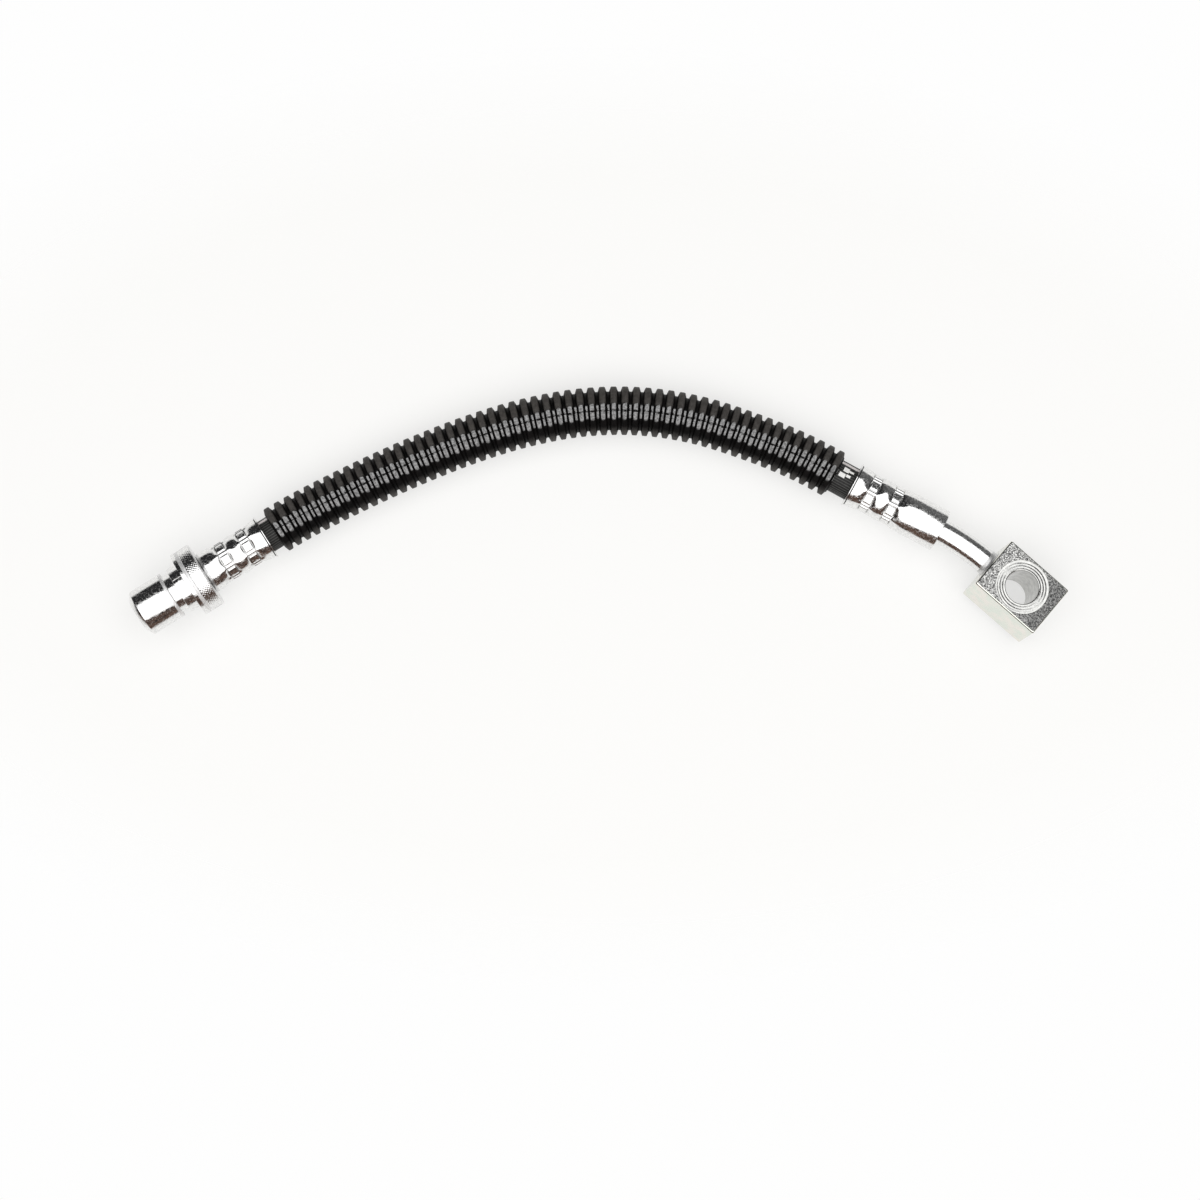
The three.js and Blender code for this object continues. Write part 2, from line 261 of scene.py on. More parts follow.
# Materials
class Nodes:
    """A short way to wire the nodes of a material or of the world."""

    def __init__(self, owner):
        owner.use_nodes = True
        self.tree = owner.node_tree

    # A socket gets a value, or a link where the value is another node's output
    def wire(self, socket, value):
        if isinstance(value, bpy.types.NodeSocket):
            self.tree.links.new(value, socket)
        elif socket.type == "RGBA":
            socket.default_value = (*value, 1)
        else:
            socket.default_value = value

    def wire_all(self, node, values):
        for name, value in values.items():
            self.wire(node.inputs[name.replace("_", " ")], value)

    def add(self, kind, operation=None, **values):
        node = self.tree.nodes.new("ShaderNode" + kind)
        if operation is not None:
            node.operation = operation
        self.wire_all(node, values)
        return node

    def shade(self, **values):
        self.wire_all(self.tree.nodes["Principled BSDF"], values)

    # Colours at places from 0 to 1
    def ramp(self, source, stops):
        node = self.add("ValToRGB", Fac=source)
        elements = node.color_ramp.elements
        while len(elements) < len(stops):
            elements.new(0.5)
        for element, (place, colour) in zip(elements, stops):
            element.position = place
            element.color = (*colour, 1)
        return node.outputs["Color"]

    def noise(self, scale, detail, roughness=0.5, space="Object"):
        spot = self.add("TexCoord").outputs[space]
        node = self.add("TexNoise", Vector=spot, Scale=scale, Detail=detail, Roughness=roughness)
        return node.outputs["Fac"]

    def split(self, space):
        return self.add("SeparateXYZ", Vector=self.add("TexCoord").outputs[space]).outputs

    def math(self, operation, *values):
        node = self.add("Math", operation)
        for socket, value in zip(node.inputs, values):
            self.wire(socket, value)
        return node.outputs[0]

    # The first colour where the share is 0, and the second where it is 1
    def mix(self, share, first, second):
        node = self.add("Mix")
        node.data_type = "RGBA"
        self.wire_all(node, {"Factor": share, "A": first, "B": second})
        return node.outputs["Result"]

    # The same for two shaders
    def blend(self, share, first, second):
        node = self.add("MixShader")
        for socket, value in zip(node.inputs, (share, first, second)):
            self.wire(socket, value)
        return node.outputs[0]

    # 1 where a value lies within a reach of a middle, and 0 elsewhere
    def near(self, value, middle, reach):
        away = self.math("ABSOLUTE", self.math("SUBTRACT", value, middle))
        return self.math("LESS_THAN", away, reach)

    def bump(self, height, strength, depth):
        node = self.add("Bump", Height=height, Strength=strength, Distance=depth * MM)
        self.shade(Normal=node.outputs["Normal"])


def plain(value):
    return (value, value, value)


def grey(*stops):
    return [(place, plain(value)) for place, value in stops]


# Stops for a value that rises from 0, stays at 1 and falls back
def band(start, full, last, end):
    return [(start, 0), (full, 1), (last, 1), (end, 0)]


# Bright plating with mottled patches. Each stretch has its two ends along, its tone and its roughness; a dull
# stretch is rougher, and a dark stretch is painted shade.
def make_plated(name, stretches):
    material = bpy.data.materials.new(name)
    n = Nodes(material)
    along = n.split("UV")["X"]
    tone = n.ramp(n.noise(scale=1500, detail=4), [(0.40, (0.72, 0.72, 0.72)), (0.60, (0.90, 0.90, 0.89))])
    polish = n.ramp(n.noise(scale=1500, detail=4, roughness=0.6), grey((0.42, 0.05), (0.62, 0.30)))
    for start, end, stretch_tone, dull_polish in stretches:
        there = n.near(along, (start + end) / 2 / UV_SPAN, (end - start) / 2 / UV_SPAN)
        tone = n.mix(there, tone, plain(stretch_tone))
        polish = n.mix(there, polish, plain(dull_polish))
    n.shade(Metallic=1.0, Base_Color=tone, Roughness=polish)
    n.bump(n.noise(scale=2500, detail=3), strength=0.2, depth=0.1)
    return material


# Camera: straight above, at the photograph's framing
camera = bpy.data.objects.new("camera", bpy.data.cameras.new("camera"))
camera.data.lens = 82.8
camera.data.sensor_width = 36
camera.location = (0.0008, -0.0257, 0.850)
bpy.context.scene.collection.objects.link(camera)
bpy.context.scene.camera = camera

# Rubber hose
HOSE_R = 5.2
HOSE_BORE_R = 1.6
HOSE_GRIP = 17.2
GRIP_START = 0.4
BORE_FLARE = 1.0
BORE_RAMP = 1.5
CUP_R = 5.0
STEM_R = 2.1
HOSE_ROWS = 90

# The shells' two rows of lugs: their middles, their length and how far they squeeze the hose
NEAR_ROW = 6.3
FAR_ROW = 13.8
ROW_HALF = 1.4
CRIMP_SQUEEZE = 1.3
ROWS_START = NEAR_ROW - ROW_HALF
ROWS_END = FAR_ROW + ROW_HALF

# Fine ridges run along the hose
HOSE_LINES = 40
LINE_SIDES = 4
LINE_DEPTH = 0.05

# A grey stripe, in turns from the top towards local x: it starts, is full, stays full to here and ends
STRIPE_TURNS = (0.822, 0.824, 0.860, 0.862)

# Plain white dashes near the right mouth: distance from it, length, turn and share of the way round
MARKS = [
    (4.2, 2.0, 0.987, 0.060),
    (3.6, 1.8, 0.912, 0.050),
    (2.3, 1.4, 0.965, 0.026),
    (1.9, 1.6, 0.915, 0.022),
]


# Black with lighter ridges, the stripe and the dashes
def make_hose_rubber():
    material = bpy.data.materials.new("hose_rubber")
    n = Nodes(material)
    uv = n.split("UV")
    speckle = n.noise(scale=1500, detail=4)
    black = n.ramp(speckle, [(0.3, (0.002, 0.002, 0.002)), (0.7, (0.008, 0.008, 0.007))])
    line = n.math("MODULO", n.math("MULTIPLY", uv["Y"], float(HOSE_LINES)), 1.0)
    on_ridge = n.ramp(line, grey((0.0, 1), (0.25, 0), (0.75, 0), (1.0, 1)))
    lined = n.mix(on_ridge, black, (0.07, 0.07, 0.067))
    striped = n.mix(n.ramp(uv["Y"], grey(*band(*STRIPE_TURNS))), lined, (0.75, 0.71, 0.71))
    marked = striped
    for from_mouth, length, turn, width in MARKS:
        along = n.near(uv["X"], (FREE - from_mouth) / UV_SPAN, length / 2 / UV_SPAN)
        round_it = n.near(uv["Y"], turn, width / 2)
        marked = n.mix(n.math("MULTIPLY", along, round_it), marked, (0.85, 0.85, 0.84))
    n.shade(IOR=1.45, Base_Color=marked)
    n.shade(Roughness=n.ramp(n.noise(scale=900, detail=3), grey((0.3, 0.5), (0.7, 0.7))))
    n.bump(n.noise(scale=3000, detail=3), strength=0.3, depth=0.1)
    return material


def make_hose():
    gripped = [
        [HOSE_R, GRIP_START],
        [HOSE_R, ROWS_START - BORE_RAMP],
        [HOSE_R - CRIMP_SQUEEZE, ROWS_START],
        [HOSE_R - CRIMP_SQUEEZE, ROWS_END],
        [CUP_R - 2 * FIT, HOSE_GRIP],
    ]
    bore = [[HOSE_BORE_R, 0], [STEM_R + FIT, BORE_FLARE], [STEM_R + FIT, HOSE_GRIP]]
    inside = np.linspace(0, FREE, HOSE_ROWS)
    outline = [[r, -d] for r, d in reversed(gripped)]
    outline += [[HOSE_R, d] for d in inside]
    outline += [[r, FREE + d] for r, d in gripped]
    outline += [[r, FREE + d] for r, d in reversed(bore)]
    outline += [[HOSE_BORE_R, d] for d in inside[-2:0:-1]]
    outline += [[r, -d] for r, d in bore]
    outline = np.array(outline)
    angles = around(HOSE_LINES * LINE_SIDES)
    radii = even_radii(outline, len(angles))
    cover = outline[:, 0] == HOSE_R
    radii[cover] -= LINE_DEPTH * (0.5 - 0.5 * np.cos(angles * HOSE_LINES))
    points, faces = sweep(outline, angles, hose_way, radii)
    uv = lengthwise_uv(outline, len(angles))
    piece = make_piece("hose_cover", points, faces, uv, make_hose_rubber(), 60)
    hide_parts("rubber_hose")


make_hose()

# Ribbed guard
GUARD_START = 3.1
GUARD_TAIL = 0.2
GUARD_BORE_R = HOSE_R + FIT
GUARD_WALL = 0.4
GUARD_BEVEL = 0.1
GUARD_BORE_ROWS = 60
RIB_COUNT = 55
RIB_PITCH = 3.316
RIB_BASE = 2.7
RIB_FLANK = 0.6
RIB_HEIGHT = 1.5
RIB_SHIFT = 0.02
VALLEY_R = GUARD_BORE_R + GUARD_WALL
CREST_R = VALLEY_R + RIB_HEIGHT

# A rib's rounded flank from the valley up: radius and distance from the rib's foot
RIB_PROFILE = [
    (VALLEY_R + 0.12, 0.1),
    (CREST_R - 0.22, RIB_FLANK - 0.1),
    (CREST_R - 0.06, RIB_FLANK + 0.02),
    (CREST_R, RIB_FLANK + 0.2),
]

# The parting line: a fine notch along the top, and a dull tick beside it on every crest, in turns
SEAM_WIDTH = 0.3
SEAM_DEPTH = 0.17
SEAM_TURN = 0.009
SEAM_REACH = 0.007
HALF_TURN_SIDES = 46

# Where the crests get dust and painted sheen, in turns: it starts, is full, stays full to here and ends
SHEEN_AND_DUST_TURNS = [(0.12, 0.18, 0.30, 0.34), (0.70, 0.74, 0.95, 0.97)]


# Black, with a thin gloss that dies away towards grazing angles, and dust with painted sheen, lighter grey on
# both sides of the ribs.
# The guard's UV is the height from valley to crest and the turn.
def make_guard_rubber():
    material = bpy.data.materials.new("guard_rubber")
    n = Nodes(material)
    uv = n.split("UV")
    on_crest = n.ramp(uv["X"], grey((0.35, 0), (0.85, 1)))
    seam = n.math("MULTIPLY", on_crest, n.near(uv["Y"], SEAM_TURN, SEAM_REACH))
    seam = n.math("MULTIPLY", seam, n.ramp(n.noise(scale=1100, detail=2), grey((0.40, 0.2), (0.55, 1))))
    worn = n.ramp(n.noise(scale=1700, detail=3), grey((0.38, 0.45), (0.60, 1)))
    gloss = n.ramp(n.add("LayerWeight", Blend=0.5).outputs["Facing"], grey((0.050, 1), (0.080, 0)))
    coat = n.math("MULTIPLY", n.math("MULTIPLY", gloss, worn), n.math("SUBTRACT", 1.0, seam))
    stops = [stop for turns in SHEEN_AND_DUST_TURNS for stop in band(*turns)]
    # Painted sheen with dust: the crests' sides are grey instead of black, lighter where light falls on the
    # north side, and standing in for the floor's reflection at the south tips
    sheen_and_dust = n.math("MULTIPLY", n.ramp(uv["Y"], grey(*stops)), on_crest)
    black = n.ramp(n.noise(scale=400, detail=4), [(0.3, (0.003, 0.003, 0.003)), (0.7, (0.007, 0.006, 0.006))])
    sheen_and_dust_tone = n.ramp(n.noise(scale=900, detail=4), [(0.3, (0.045, 0.042, 0.040)), (0.7, (0.075, 0.070, 0.066))])
    n.shade(IOR=1.4, Specular_IOR_Level=0.1, Base_Color=n.mix(sheen_and_dust, black, sheen_and_dust_tone))
    n.shade(Coat_Roughness=0.12, Coat_IOR=2.7, Coat_Weight=coat)
    n.shade(Roughness=n.ramp(n.noise(scale=1800, detail=5), grey((0.3, 0.40), (0.7, 0.55))))
    n.bump(n.noise(scale=2600, detail=3), strength=0.12, depth=0.1)
    return material


def make_guard():
    outline = [[VALLEY_R - GUARD_BEVEL, 0]]
    for rib in range(RIB_COUNT):
        start = rib * RIB_PITCH
        end = start + RIB_BASE
        outline.append([VALLEY_R, start + RIB_SHIFT])
        outline += [[r, start + d] for r, d in RIB_PROFILE]
        outline += [[r, end - d] for r, d in reversed(RIB_PROFILE)]
        outline.append([VALLEY_R, end + RIB_SHIFT])
    length = end + GUARD_TAIL
    outline += [[VALLEY_R, length - GUARD_BEVEL], [VALLEY_R - GUARD_BEVEL, length]]
    outline += [[GUARD_BORE_R, d] for d in np.linspace(length, 0, GUARD_BORE_ROWS)]
    outline = np.array(outline)
    outline[:, 1] += GUARD_START

    # Narrow sides at the top and the bottom, with the notch in the top ones
    seam = SEAM_WIDTH / CREST_R
    narrow = np.array([-1.5, -0.5, 0.5, 1.5]) * seam
    wide = np.linspace(2.5 * seam, math.pi - 2.5 * seam, HALF_TURN_SIDES)
    angles = np.concatenate([narrow, wide, math.pi + narrow, math.pi + wide])
    notch = np.zeros(len(angles))
    notch[[1, 2]] = SEAM_DEPTH
    radii = even_radii(outline, len(angles))
    radii[outline[:, 0] > GUARD_BORE_R] -= notch

    points, faces = sweep(outline, angles, hose_way, radii)
    height = np.clip((outline[:, 0] - VALLEY_R) / RIB_HEIGHT, 0, 1)
    turns = np.tile(angles / (2 * math.pi), len(outline))
    uv = np.stack([np.repeat(height, len(angles)), turns], axis=-1)
    piece = make_piece("ribbed_guard", points, faces, uv, make_guard_rubber(), 40)
    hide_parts("scuff_guard")


make_guard()

# Crimped shells
SHELL_R = 6.6
CRIMP_R = SHELL_R - CRIMP_SQUEEZE
MOUTH_R = SHELL_R - 0.45
INLET_SHELL = 21.15
INLET_CUP = 18.0
NECK_R = 3.4
TUBE_R = 3.9
STEM_END = HOSE_GRIP + FIT
OUTLET_HEAD = 3.0
OUTLET_CUP = STEM_END + OUTLET_HEAD + FIT

# The lip rolled at the mouth: distance from it and rise, and after it the line where the roll ends
LIP_RISE = 0.4
LIP_PROFILE = [
    (0.05, LIP_RISE - 0.12),
    (0.12, LIP_RISE),
    (0.34, LIP_RISE),
    (0.48, 0.0),
    (0.60, -0.12),
    (0.72, 0.0),
]
LIP_FLAT = 0.8

# Between lugs the shell falls away from the lip, bulges between the rows and rises to its end
BULGE = 1.0
SHOULDER = 4.2
ROUNDING = 2.0
GAP_RISE = 0.8
ROUND_ROWS = 19
SHOULDER_ROWS = 16

# Half a lug's outline seen along the hose: sideways place and height above the axis
LUG_COUNT = 8
LUG_FOOT = 1.74
LUG_OUTLINE = [
    (0, 6.1),
    (0.55, 6.1),
    (1.05, 6.08),
    (1.28, 6.03),
    (1.46, 5.93),
    (1.58, 5.79),
    (1.64, 5.6),
    (1.67, 5.45),
]

# A lug's end rises over this length, a little rounded, to its flat top
LUG_EASE = 0.26
LUG_TOP = 2.2 * LUG_EASE
LUG_SOFTNESS = 0.12

# The shells' one stretch, just behind the lip, is painted shade along the groove there: dark and a little
# rougher
plated_shell = make_plated("plated_shell", [(0.36, 0.68, 0.16, 0.40)])


# A rounded drop from 1 at the start to 0 at the end
def dome(t):
    return (1 - np.clip(t, 0, 1) ** ROUNDING) ** (1 / ROUNDING)


def shell_radius(y, floor_r):
    middle = (NEAR_ROW + FAR_ROW) / 2
    reach = (FAR_ROW - NEAR_ROW) / 2 - ROW_HALF
    y, floor_r = y[:, None], floor_r[None, :]
    lip = floor_r + (SHELL_R - floor_r) * dome((y - LIP_FLAT) / (ROWS_START - LIP_FLAT))
    bulge = floor_r + (CRIMP_R + BULGE - floor_r) * dome(np.abs(y - middle) / reach)
    end = floor_r + (SHELL_R - floor_r) * dome((ROWS_END + SHOULDER - y) / SHOULDER)
    radius = np.where(y < ROWS_START, lip, floor_r)
    radius = np.where(np.abs(y - middle) < reach, bulge, radius)
    return np.where(y > ROWS_END, end, radius)


# The distances from the mouth at which the outside has a ring, closer where it curves
def shell_places(length):
    quarter = np.linspace(0, math.pi / 2, ROUND_ROWS)[:-1]
    falling = LIP_FLAT + (ROWS_START - LIP_FLAT) * np.sin(quarter)
    middle = (NEAR_ROW + FAR_ROW) / 2
    bulge_half = (FAR_ROW - NEAR_ROW) / 2 - ROW_HALF
    bulging = middle - bulge_half * np.cos(np.linspace(0, math.pi, ROUND_ROWS)[1:-1])
    rising = ROWS_END + SHOULDER * (1 - np.cos(np.linspace(0, math.pi / 2, SHOULDER_ROWS)[1:]))
    steps = np.array([0, LUG_EASE / 2, LUG_EASE, LUG_TOP])
    near, far = (
        np.concatenate([row - ROW_HALF + steps, row + ROW_HALF - steps[::-1]])
        for row in (NEAR_ROW, FAR_ROW)
    )
    lip = [y for y, _ in LIP_PROFILE]
    return np.concatenate([lip, falling, near, bulging, far, rising, [length - EDGE]])


# The angles of a shell's sides, closer across each lug, and the lugs' height there
def lug_columns(clock):
    half_pitch = math.pi / LUG_COUNT
    right = [(math.atan2(x, z), math.hypot(x, z)) for x, z in LUG_OUTLINE]
    foot = math.asin(LUG_FOOT / CRIMP_R)
    right += [(foot, CRIMP_R), ((foot + half_pitch) / 2, CRIMP_R)]
    columns = [(-a, r) for a, r in reversed(right[1:])] + right + [(half_pitch, CRIMP_R)]
    angles, heights = [], []
    for lug in range(LUG_COUNT):
        centre = clock + lug * 2 * half_pitch
        angles += [centre + a for a, _ in columns]
        heights += [r for _, r in columns]
    return np.array(angles), np.array(heights)


def make_shell(name, node, end, length, cup_depth, hole_r, clock):
    grip = HOSE_R + FIT - CRIMP_SQUEEZE
    rim = rounded_edge(SHELL_R, length, -1)[1::-1]
    inner = [
        [hole_r, length],
        [hole_r, cup_depth],
        [CUP_R, cup_depth],
        [CUP_R, STEM_END],
        [grip, ROWS_END],
        [grip, ROWS_START],
        [HOSE_R + FIT, ROWS_START - BORE_RAMP],
        [HOSE_R + FIT, 0],
        [MOUTH_R, 0],
    ]
    angles, heights = lug_columns(clock)
    ridge = (0.5 - 0.5 * np.cos(LUG_COUNT * (angles - clock))) ** 2
    floor_r = CRIMP_R + GAP_RISE * ridge
    places = shell_places(length)
    outer_radii = shell_radius(places, floor_r)
    outer_radii[:len(LIP_PROFILE)] += np.array([[rise] for _, rise in LIP_PROFILE])

    # Each lug rises from the floor between the ends of its row
    nearest_row = np.minimum(np.abs(places - NEAR_ROW), np.abs(places - FAR_ROW))
    rise = np.clip((ROW_HALF - nearest_row) / LUG_EASE, 0, 1)[:, None]
    softened = 1 - LUG_SOFTNESS * (1 - np.clip((rise - 0.5) * 2, 0, 1))
    outer_radii += rise * softened * np.maximum(heights - floor_r, 0)

    outline = np.vstack([np.stack([outer_radii[:, 0], places], axis=-1), rim, inner])
    radii = even_radii(outline, len(angles))
    radii[:len(places)] = outer_radii
    points, faces = sweep(outline, angles, end.way, radii)
    uv = lengthwise_uv(outline, len(angles))
    piece = make_piece(name, points, faces, uv, plated_shell, 34)
    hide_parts(node)


# The outlet's lugs are turned by half a pitch
OUTLET_CLOCK = math.radians(22.5)
make_shell("inlet_shell", "inlet_ferrule", inlet, INLET_SHELL, INLET_CUP, NECK_R + FIT, 0.0)
make_shell("outlet_shell", "outlet_ferrule", outlet, OUTLET_SHELL, OUTLET_CUP, TUBE_R + FIT, OUTLET_CLOCK)

# Female end: where each stretch starts, from the shell's mouth outwards
COLLAR_START = INLET_SHELL + FIT
GROOVE_START = COLLAR_START + 4.1
RIM_START = GROOVE_START + 0.6
LAND_START = RIM_START + 1.7
CLIP_START = LAND_START + 3.2
NOSE_START = CLIP_START + 2.4
PORT_MOUTH = NOSE_START + 12.1
PORT_END = PORT_MOUTH - 11.0

# Stem inside the hose
STEM_BORE_R = 1.2
STEM_TIP = 2.2
BARB_COUNT = 4
BARB_DEPTH = 0.3

# Collar
COLLAR_R = 10.5
GROOVE_DEPTH = 0.25
GROOVE_BEVEL = 0.08
GROOVE_LEAN = 0.03
KNURL_START = COLLAR_START + EDGE + 0.1
KNURL_ROWS = np.linspace(KNURL_START, GROOVE_START - 0.25, 24)
KNURL_TEETH = 72
KNURL_DEPTH = 0.13

# Land, clip groove and nose
BEVEL = 0.1
CLIP_GROOVE_R = 6.2
NOSE_R = 7.4
NOSE_RING = 0.85
NOSE_CHAMFER = 1.4
NOSE_FACE_R = 5.0
KEY_WIDTH = 2.0
KEY_DEPTH = 0.35
KEY_ANGLE = math.radians(16)
FITTING_SIDES = 384

# The nose's end, rounded at both edges of its chamfer: radius and distance short of the mouth
NOSE_PROFILE = [
    (NOSE_R, NOSE_CHAMFER + 0.15),
    (NOSE_R - 0.12, NOSE_CHAMFER - 0.05),
    (NOSE_FACE_R + 0.15, 0.08),
    (NOSE_FACE_R, 0.0),
]

# Port with its flare seat
PORT_R = 4.4
PORT_EDGE_R = PORT_R + 0.45
PORT_EDGE_DEPTH = 0.12
UNDERCUT = 0.2
SEAT_R = 3.5
SEAT_HEIGHT = 2.2
THREAD_PITCH = 1.0
THREAD_DEPTH = 0.45
THREAD_START = PORT_MOUTH - 0.8
THREAD_END = PORT_END + 1.2
THREAD_ROWS = np.arange(THREAD_START, THREAD_END, -THREAD_PITCH / 8)

# Dull stretches: the collar's near edge, its groove and the nose's near edge
plated_fitting = make_plated("plated_fitting", [
    (COLLAR_START - 0.05, COLLAR_START + 0.37, 0.92, 0.50),
    (GROOVE_START - 0.15, RIM_START + 0.45, 0.95, 0.60),
    (NOSE_START - 0.05, NOSE_START + NOSE_RING, 0.95, 0.60),
])


# A pointed wave that falls from 1 to 0 and rises back for every 1 that the value grows
def zigzag(value):
    return np.abs(value % 1 - 0.5) * 2


def make_fitting():
    pitch = (STEM_END - STEM_TIP) / BARB_COUNT
    outline = []
    for barb in range(BARB_COUNT):
        start = STEM_TIP + barb * pitch
        outline += [[STEM_R - BARB_DEPTH, start], [STEM_R, start + pitch - BARB_DEPTH]]
    outline += [[STEM_R - BARB_DEPTH, STEM_END], [NECK_R, STEM_END], [NECK_R, COLLAR_START]]

    outline += rounded_edge(COLLAR_R, COLLAR_START, 1)
    knurl = slice(len(outline), len(outline) + len(KNURL_ROWS))
    outline += [[COLLAR_R, y] for y in KNURL_ROWS]
    outline += [[COLLAR_R, GROOVE_START - GROOVE_BEVEL], [COLLAR_R - GROOVE_BEVEL, GROOVE_START]]
    outline += [[COLLAR_R - GROOVE_DEPTH, GROOVE_START + GROOVE_LEAN]]
    outline += [[COLLAR_R - GROOVE_DEPTH, RIM_START - GROOVE_LEAN]]
    outline += [[COLLAR_R - GROOVE_BEVEL, RIM_START], [COLLAR_R, RIM_START + GROOVE_BEVEL]]
    outline += rounded_edge(COLLAR_R, LAND_START, -1)[::-1]

    outline += [[NOSE_R + BEVEL, LAND_START]]
    land = slice(len(outline), len(outline) + 3)
    outline += [[NOSE_R, LAND_START + BEVEL], [NOSE_R, CLIP_START - BEVEL], [NOSE_R - BEVEL, CLIP_START]]
    outline += [[CLIP_GROOVE_R + BEVEL, CLIP_START], [CLIP_GROOVE_R, CLIP_START + BEVEL]]
    outline += [[CLIP_GROOVE_R, NOSE_START - BEVEL], [CLIP_GROOVE_R + BEVEL, NOSE_START]]
    outline += [[NOSE_R - BEVEL, NOSE_START], [NOSE_R, NOSE_START + BEVEL], [NOSE_R, NOSE_START + NOSE_RING]]
    outline += [[r, PORT_MOUTH - short] for r, short in NOSE_PROFILE]

    outline += [[PORT_EDGE_R, PORT_MOUTH], [PORT_EDGE_R - BEVEL, PORT_MOUTH - PORT_EDGE_DEPTH]]
    thread = slice(len(outline), len(outline) + len(THREAD_ROWS))
    outline += [[PORT_R, y] for y in THREAD_ROWS]
    outline += [[PORT_R + UNDERCUT, THREAD_END - BEVEL], [PORT_R + UNDERCUT, PORT_END]]
    outline += [[SEAT_R, PORT_END], [STEM_BORE_R, PORT_END + SEAT_HEIGHT], [STEM_BORE_R, STEM_TIP]]
    outline = np.array(outline)
    angles = around(FITTING_SIDES)
    radii = even_radii(outline, FITTING_SIDES)

    # Two families of fine grooves cross at the knurl
    turn = angles[None, :] / (2 * math.pi)
    tooth = turn * KNURL_TEETH
    row = (KNURL_ROWS[:, None] - KNURL_START) / (2 * math.pi * COLLAR_R / KNURL_TEETH)
    radii[knurl] -= KNURL_DEPTH * (1 - np.minimum(zigzag(tooth + row), zigzag(tooth - row)))

    # The port's thread is one helix, which fades out at its inner end
    depth = THREAD_ROWS[:, None] / THREAD_PITCH
    fade = np.clip((THREAD_ROWS[:, None] - THREAD_END) / THREAD_PITCH, 0, 1)
    radii[thread] += THREAD_DEPTH * zigzag(depth + turn) * fade

    # Key notch across the land
    away = np.abs((angles - KEY_ANGLE + math.pi) % (2 * math.pi) - math.pi)
    radii[land, away < KEY_WIDTH / 2 / NOSE_R] -= KEY_DEPTH

    points, faces = sweep(outline, angles, inlet.way, radii)
    uv = lengthwise_uv(outline, FITTING_SIDES)
    piece = make_piece("female_end", points, faces, uv, plated_fitting, 34)
    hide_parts("inlet_fitting")


make_fitting()

# Bent tube with a fillet of braze where it meets the block
TUBE_BORE_R = 2.4
TUBE_SOCKET = 4.3
TUBE_SIDES = 64
TUBE_ROWS = 36
TUBE_BORE_ROWS = 20
BRAZE_RISE = 0.6
BRAZE_LENGTH = 1.0
BRAZE_GAP = 0.02
BRAZE_ROWS = 8

plated_tube = make_plated("plated_tube", [(TUBE_LENGTH - 1.6, TUBE_LENGTH + 1.0, 0.72, 0.50)])


def make_tube():
    start = OUTLET_CUP - OUTLET_SHELL
    end = TUBE_LENGTH + TUBE_SOCKET - FIT
    braze_start = TUBE_LENGTH - BRAZE_LENGTH
    outline = [[TUBE_R, start]]
    outline += [[TUBE_R, d] for d in np.linspace(0, braze_start, TUBE_ROWS)]
    for swing in np.linspace(0, math.pi / 2, BRAZE_ROWS + 1)[1:]:
        rise = BRAZE_RISE * (1 - math.cos(swing))
        outline.append([TUBE_R + rise, braze_start + (BRAZE_LENGTH - BRAZE_GAP) * math.sin(swing)])
    outline += [[TUBE_R, TUBE_LENGTH - BRAZE_GAP / 2], [TUBE_R, end]]
    outline += [[TUBE_BORE_R, d] for d in np.linspace(end, start, TUBE_BORE_ROWS)]
    outline = np.array(outline)
    points, faces = sweep(outline, around(TUBE_SIDES), tube_way, even_radii(outline, TUBE_SIDES))
    uv = lengthwise_uv(outline, TUBE_SIDES)
    piece = make_piece("bent_tube", points, faces, uv, plated_tube, 50)
    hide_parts("outlet_tube")


make_tube()

# Block
BLOCK_LENGTH = 23.0
BLOCK_WIDTH = 17.9
BLOCK_THICKNESS = 15.0
BLOCK_EDGE = 0.4
BLOCK_EDGE_MIDDLE = (0.15, 0.1)
BLOCK_BORDER = 0.03
BLOCK_ASIDE = 1.0
CORNER_R = 0.5

# The bolt's hole with its rounded rim, as widening and depth, and the turned spot face round it
BOLT_HOLE_R = 5.2
HOLE_RIM = [(0.0, 0.35), (0.08, 0.12)]
SPOT_FACE_R = 8.3
SPOT_FACE_DEPTH = 0.3
SPOT_FACE_LEAN = 0.04
RING_START = BOLT_HOLE_R + 0.3
RING_STEP = 0.42
RING_DEPTH = 0.056
RINGS_END = SPOT_FACE_R - 0.1

# The block's UV is the distance from the hole's axis, this many millimetres to 1, and the turn.
# All side faces stand at SIDE_U, beyond any place on the top.
BLOCK_UV_SPAN = 20
SIDE_U = 0.95
SIDE_STOPS = [(0.78, 0), (0.80, 1)]
RING_STOPS = [(SPOT_FACE_R / BLOCK_UV_SPAN, 1), (SPOT_FACE_R / BLOCK_UV_SPAN + 0.002, 0)]

# Painted shade: how much darker the top's grain is towards the far corners, by the turn
CORNER_SHADE = [(0.0, 0.6), (0.28, 0.6), (0.45, 0.0), (0.85, 0.0), (1.0, 0.6)]


